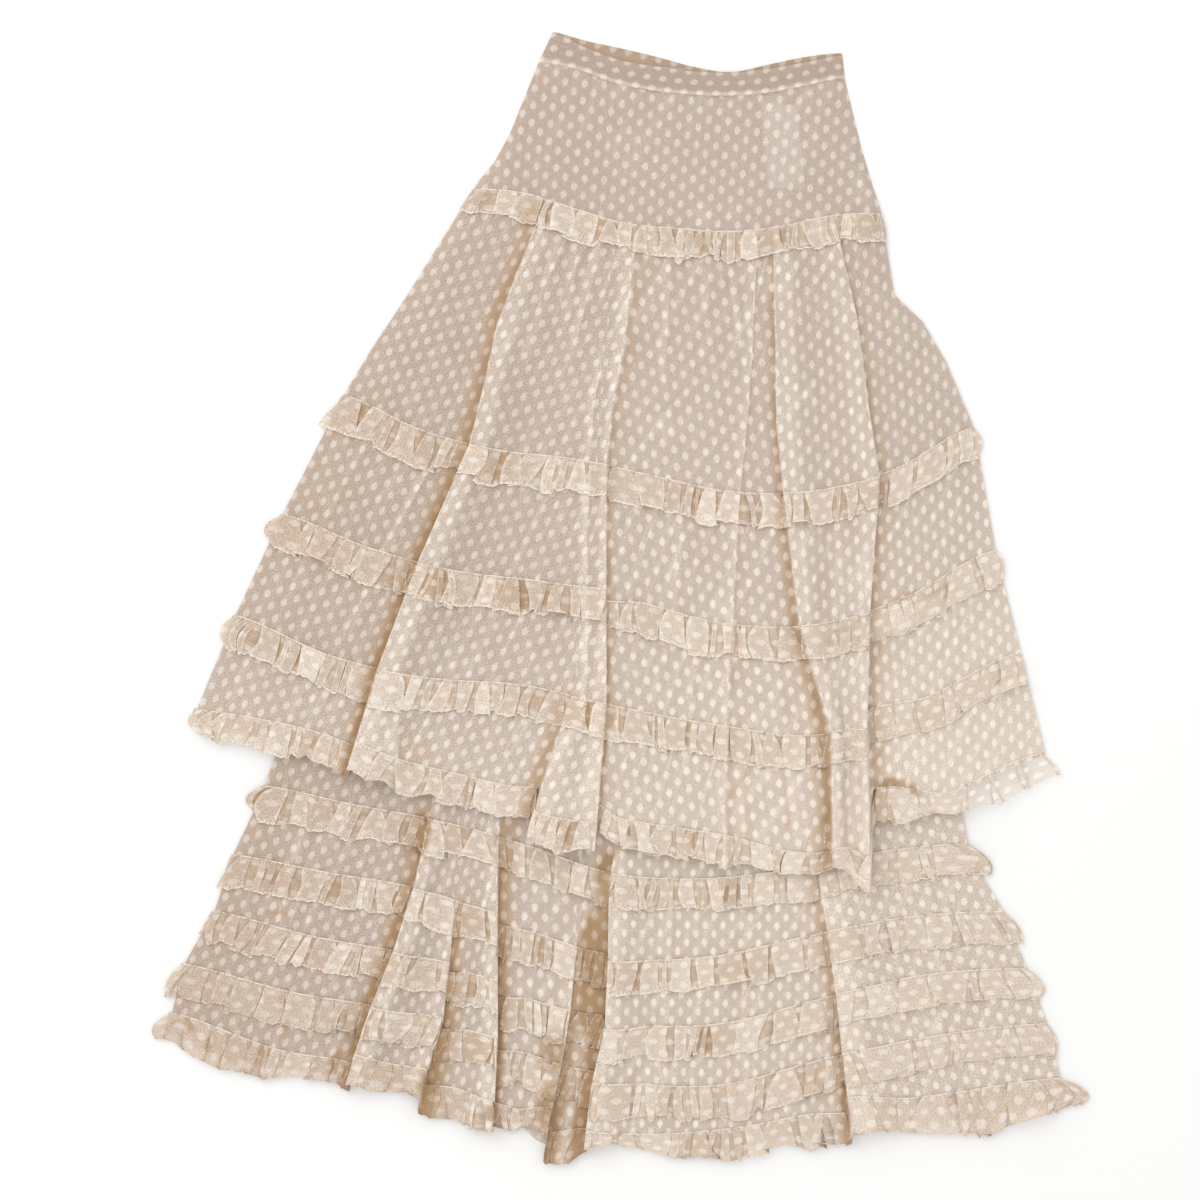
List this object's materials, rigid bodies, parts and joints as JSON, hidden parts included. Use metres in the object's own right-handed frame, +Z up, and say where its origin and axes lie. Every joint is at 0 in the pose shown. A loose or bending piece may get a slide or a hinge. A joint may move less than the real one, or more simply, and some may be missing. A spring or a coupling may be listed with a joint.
{
  "type": "tiered ruffle skirt",
  "caption": "long skirt of sheer spotted net with a plain hip yoke, a flared overskirt and a longer underskirt, banded with gathered ruffles, laid out flat",
  "frame": {"origin": "middle of the laid-out skirt's outline, on the surface that it lies on", "axes": "+X across the skirt, +Y from the hem to the waist, +Z up from the surface"},
  "size_m": [0.9818, 1.1824, 0.0323],
  "materials": {
    "spotted_net": "sheer diamond net in ivory beige with small woven oval spots",
    "ruffle_net": "the same net, gathered, with an overlocked edge",
    "waistband_net": "the same net doubled over a beige stay tape",
    "label_tape": "matt white satin tape, blank"
  },
  "bodies": {
    "root": {"waistband_front": "waistband_net", "waistband_back": "waistband_net", "yoke_front": "spotted_net", "yoke_back": "spotted_net", "overskirt_front": "spotted_net", "overskirt_back": "spotted_net", "underskirt_front": "spotted_net", "underskirt_back": "spotted_net", "ruffle_hip_front": "ruffle_net", "ruffle_hip_back": "ruffle_net", "ruffle_over_1_front": "ruffle_net", "ruffle_over_1_back": "ruffle_net", "ruffle_over_2_front": "ruffle_net", "ruffle_over_2_back": "ruffle_net", "ruffle_over_3_front": "ruffle_net", "ruffle_over_3_back": "ruffle_net", "ruffle_over_hem_front": "ruffle_net", "ruffle_over_hem_back": "ruffle_net", "ruffle_under_1_front": "ruffle_net", "ruffle_under_1_back": "ruffle_net", "ruffle_under_2_front": "ruffle_net", "ruffle_under_2_back": "ruffle_net", "ruffle_under_3_front": "ruffle_net", "ruffle_under_3_back": "ruffle_net", "ruffle_under_4_front": "ruffle_net", "ruffle_under_4_back": "ruffle_net", "ruffle_under_hem_front": "ruffle_net", "ruffle_under_hem_back": "ruffle_net", "care_label": "label_tape", "waist_label": "label_tape"}
  },
  "joints": []
}
